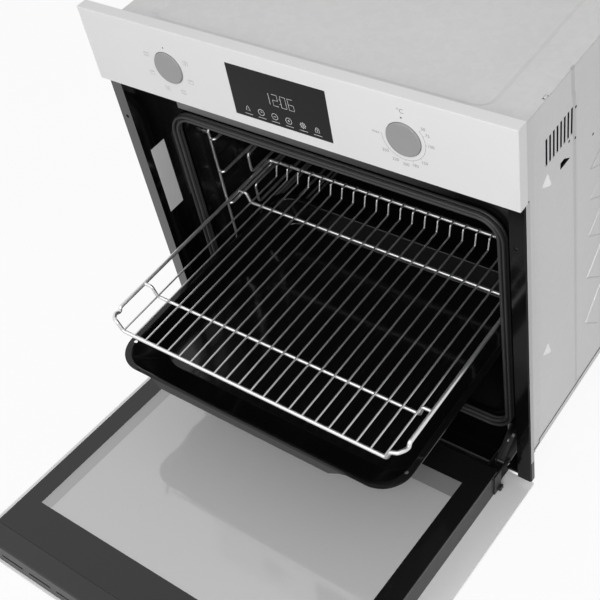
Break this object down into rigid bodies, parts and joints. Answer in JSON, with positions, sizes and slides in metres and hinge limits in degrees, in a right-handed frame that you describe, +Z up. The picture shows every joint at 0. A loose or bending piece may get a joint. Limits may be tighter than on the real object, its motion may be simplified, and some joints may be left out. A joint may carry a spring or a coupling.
{
  "type": "wall oven",
  "caption": "Built-in electric wall oven with drop-down glazed door, pull-out wire rack and deep tray, two push-in knobs, clock display and fan.",
  "frame": {"origin": "underside of the base, in the middle, at the plane of the cabinet's front edges", "axes": "+X to the right seen from the front, +Y into the oven, +Z up"},
  "size_m": [0.594, 1.0513, 0.6144],
  "materials": {
    "panel_paint": "satin white paint",
    "display_black": "gloss black",
    "knob_grey": "satin grey",
    "dark_plastic": "matt black",
    "pale_plastic": "matt pale",
    "steel_shaft": "bright",
    "trim_black": "semi-gloss black",
    "frame_enamel": "gloss black enamel",
    "cavity_enamel": "gloss dark enamel",
    "tray_enamel": "gloss black enamel",
    "gasket_rubber": "matt",
    "wire_chrome": "bright",
    "element_steel": "dull",
    "galvanised": "spangled",
    "ceramic": "matt white",
    "lamp_glass": "clear",
    "wool": "fibrous",
    "motor_steel": "laminated",
    "outer_glass": "white back print",
    "inner_glass": "black printed border",
    "clear_glass": "clear",
    "profile_metal": "satin",
    "handle_metal": "satin",
    "hinge_steel": "bright zinc"
  },
  "bodies": {
    "carcass": {"control_panel": "panel_paint", "display_glass": "display_black", "timer_module": "dark_plastic", "control_bracket": "galvanised", "function_switch": "pale_plastic", "thermostat": "ceramic", "knob_sleeves": "dark_plastic", "right_side_trim": "trim_black", "left_side_trim": "trim_black", "front_frame": "frame_enamel", "bottom_trim": "trim_black", "door_gasket": "gasket_rubber", "oven_cavity": "cavity_enamel", "right_rack_support": "wire_chrome", "left_rack_support": "wire_chrome", "grill_element": "element_steel", "bottom_element": "element_steel", "ring_element": "element_steel", "fan_cover": "cavity_enamel", "fan_motor": "motor_steel", "lamp_holder": "ceramic", "lamp_bulb": "lamp_glass", "lamp_lens": "lamp_glass", "right_side_panel": "galvanised", "left_side_panel": "galvanised", "top_cover": "galvanised", "back_panel": "galvanised", "base_panel": "galvanised", "insulation": "wool", "cooling_duct": "galvanised", "blower_motor": "motor_steel", "terminal_box": "dark_plastic", "cable_gland": "dark_plastic", "screws": "steel_shaft", "hinge_receivers": "galvanised", "right_hinge_arm": "hinge_steel", "left_hinge_arm": "hinge_steel"},
    "door": {"right_hinge_channel": "hinge_steel", "left_hinge_channel": "hinge_steel", "hinge_pins": "steel_shaft", "door_outer_glass": "outer_glass", "door_middle_glass": "clear_glass", "door_inner_glass": "inner_glass", "door_right_profile": "profile_metal", "door_left_profile": "profile_metal", "door_top_rail": "dark_plastic", "door_bottom_rail": "profile_metal", "profile_end_caps": "dark_plastic", "handle_bar": "handle_metal", "handle_posts": "handle_metal"},
    "rack": {"rack_frame": "wire_chrome", "rack_grid": "wire_chrome"},
    "tray": {"deep_tray": "tray_enamel"},
    "function_spindle": {"function_shaft": "steel_shaft"},
    "function_control": {"function_knob": "knob_grey"},
    "thermostat_spindle": {"thermostat_shaft": "steel_shaft"},
    "temperature_control": {"temperature_knob": "knob_grey"},
    "convection_rotor": {"convection_fan": "galvanised"},
    "blower_rotor": {"blower_wheel": "galvanised"}
  },
  "joints": [
    {"name": "door_hinge", "type": "hinge", "parent": "carcass", "child": "door", "pos_m": [0, 0, -0.002], "axis": [1, 0, 0], "range_deg": [-84.5, 0]},
    {"name": "rack_slide", "type": "slide", "parent": "carcass", "child": "rack", "axis": [0, 1, 0], "range_m": [0, 0.2362]},
    {"name": "tray_slide", "type": "slide", "parent": "carcass", "child": "tray", "axis": [0, 1, 0], "range_m": [0, 0.2482]},
    {"name": "function_shaft_turn", "type": "hinge", "parent": "carcass", "child": "function_spindle", "pos_m": [-0.164, 0, 0.5375], "axis": [0, 1, 0], "continuous": true},
    {"name": "function_knob_push", "type": "slide", "parent": "function_spindle", "child": "function_control", "axis": [0, -1, 0], "range_m": [0, 0.018]},
    {"name": "thermostat_shaft_turn", "type": "hinge", "parent": "carcass", "child": "thermostat_spindle", "pos_m": [0.164, 0, 0.5375], "axis": [0, 1, 0], "range_deg": [0, 290]},
    {"name": "temperature_knob_push", "type": "slide", "parent": "thermostat_spindle", "child": "temperature_control", "axis": [0, -1, 0], "range_m": [0, 0.018]},
    {"name": "convection_fan_spin", "type": "hinge", "parent": "carcass", "child": "convection_rotor", "pos_m": [0, 0.45, 0.225], "axis": [0, 1, 0], "continuous": true},
    {"name": "cooling_blower_spin", "type": "hinge", "parent": "carcass", "child": "blower_rotor", "pos_m": [0, 0.285, 0.486], "axis": [1, 0, 0], "continuous": true}
  ],
  "couplings": [
    {"joint": "rack_slide", "follows": "door_hinge", "m_per_rad": -0.16002},
    {"joint": "tray_slide", "follows": "door_hinge", "m_per_rad": -0.16816}
  ]
}
